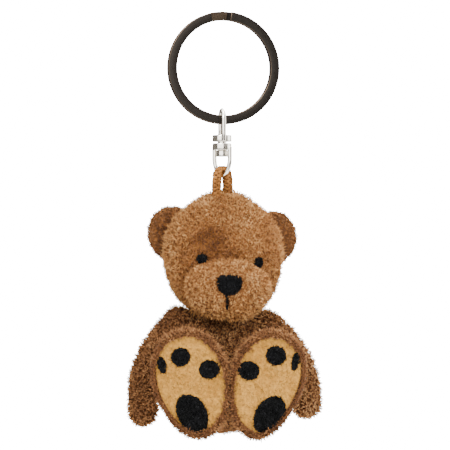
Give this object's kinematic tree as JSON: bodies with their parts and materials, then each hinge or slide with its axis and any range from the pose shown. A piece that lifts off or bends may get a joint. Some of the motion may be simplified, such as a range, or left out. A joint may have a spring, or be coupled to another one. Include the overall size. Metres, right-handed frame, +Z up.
{
  "type": "plush keychain",
  "caption": "Seated plush bear with embroidered paw soles, hung by a knitted loop from a swivel and a split key ring.",
  "frame": {"origin": "centre of the split ring, where a key or hook passes", "axes": "+Z up along the hanging keychain, the bear faces -Y, +X to the right of a person looking at its face; the ring's own axis is turned 10 degrees from Y"},
  "size_m": [0.0505, 0.0372, 0.1128],
  "materials": {
    "ring_steel": "plated flat wire, polished",
    "swivel_nickel": "polished nickel plate",
    "cord_knit": "knitted golden-brown cord",
    "plush_head": "short brushed plush pile",
    "plush_body": "short brushed plush pile",
    "plush_dark": "short brushed plush pile",
    "sole_velour": "tan short-cropped velour",
    "embroidery_black": "black satin-stitch embroidery",
    "stuffing": "loose polyester fill"
  },
  "bodies": {
    "ring": {"split_ring": "ring_steel"},
    "eye": {"swivel_eye": "swivel_nickel", "swivel_pin": "swivel_nickel"},
    "bow": {"swivel_bow": "swivel_nickel"},
    "head": {"hanging_loop": "cord_knit", "head_panel_front_left": "plush_head", "head_panel_front_right": "plush_head", "head_panel_back_left": "plush_head", "head_panel_back_right": "plush_head", "muzzle_panel": "plush_head", "eye_left": "embroidery_black", "eye_right": "embroidery_black", "nose_patch": "embroidery_black", "mouth_stitch": "embroidery_black", "head_stuffing": "stuffing"},
    "ear_left": {"ear_left_front": "plush_dark", "ear_left_back": "plush_dark"},
    "ear_right": {"ear_right_front": "plush_dark", "ear_right_back": "plush_dark"},
    "torso": {"torso_panel_front": "plush_body", "torso_panel_back_left": "plush_body", "torso_panel_back_right": "plush_body", "torso_stuffing": "stuffing"},
    "arm_left": {"arm_left_panel_front": "plush_body", "arm_left_panel_back": "plush_body", "arm_left_stuffing": "stuffing"},
    "leg_left": {"leg_left_panel_outer": "plush_body", "leg_left_panel_inner": "plush_body", "leg_left_stuffing": "stuffing", "sole_left": "sole_velour", "foot_left_outer_toe_pad": "embroidery_black", "foot_left_middle_toe_pad": "embroidery_black", "foot_left_inner_toe_pad": "embroidery_black", "foot_left_heel_pad": "embroidery_black"},
    "arm_right": {"arm_right_panel_front": "plush_body", "arm_right_panel_back": "plush_body", "arm_right_stuffing": "stuffing"},
    "leg_right": {"leg_right_panel_outer": "plush_body", "leg_right_panel_inner": "plush_body", "leg_right_stuffing": "stuffing", "sole_right": "sole_velour", "foot_right_outer_toe_pad": "embroidery_black", "foot_right_middle_toe_pad": "embroidery_black", "foot_right_inner_toe_pad": "embroidery_black", "foot_right_heel_pad": "embroidery_black"}
  },
  "joints": [
    {"name": "ring_tilt", "type": "hinge", "parent": "ring", "child": "eye", "pos_m": [-0.0003, 0, -0.0138], "axis": [0.9848, 0.1736, 0], "range_deg": [-75, 75]},
    {"name": "swivel_spin", "type": "hinge", "parent": "eye", "child": "bow", "pos_m": [-0.0003, 0, -0.021], "axis": [0, 0, 1], "continuous": true},
    {"name": "loop_swing", "type": "hinge", "parent": "bow", "child": "head", "pos_m": [-0.0003, 0, -0.02828], "axis": [0.829, -0.5592, 0], "range_deg": [-35, 35], "stiffness_Nm_per_rad": 0.0002},
    {"name": "ear_left_fold", "type": "hinge", "parent": "head", "child": "ear_left", "pos_m": [-0.01455, 0.00201, -0.04272], "axis": [0.3927, 0.0692, 0.9171], "range_deg": [-15, 15], "stiffness_Nm_per_rad": 0.0001},
    {"name": "ear_right_fold", "type": "hinge", "parent": "head", "child": "ear_right", "pos_m": [0.01415, 0.00707, -0.0445], "axis": [-0.2797, -0.0493, 0.9588], "range_deg": [-15, 15], "stiffness_Nm_per_rad": 0.0001},
    {"name": "neck_turn", "type": "hinge", "parent": "head", "child": "torso", "pos_m": [-0.0003, 0.003, -0.065], "axis": [0, 0, 1], "range_deg": [-20, 20], "stiffness_Nm_per_rad": 0.005},
    {"name": "arm_left_raise", "type": "hinge", "parent": "torso", "child": "arm_left", "pos_m": [-0.0119, 0.0044, -0.0682], "axis": [0, 1, 0], "range_deg": [0, 60], "stiffness_Nm_per_rad": 0.001},
    {"name": "arm_right_raise", "type": "hinge", "parent": "torso", "child": "arm_right", "pos_m": [0.0113, 0.0044, -0.0682], "axis": [0, -1, 0], "range_deg": [0, 60], "stiffness_Nm_per_rad": 0.001},
    {"name": "leg_left_drop", "type": "hinge", "parent": "torso", "child": "leg_left", "pos_m": [-0.0083, 0.0011, -0.089], "axis": [1, 0, 0], "range_deg": [0, 30], "stiffness_Nm_per_rad": 0.008},
    {"name": "leg_right_drop", "type": "hinge", "parent": "torso", "child": "leg_right", "pos_m": [0.0103, 0.0011, -0.089], "axis": [1, 0, 0], "range_deg": [0, 30], "stiffness_Nm_per_rad": 0.008}
  ]
}
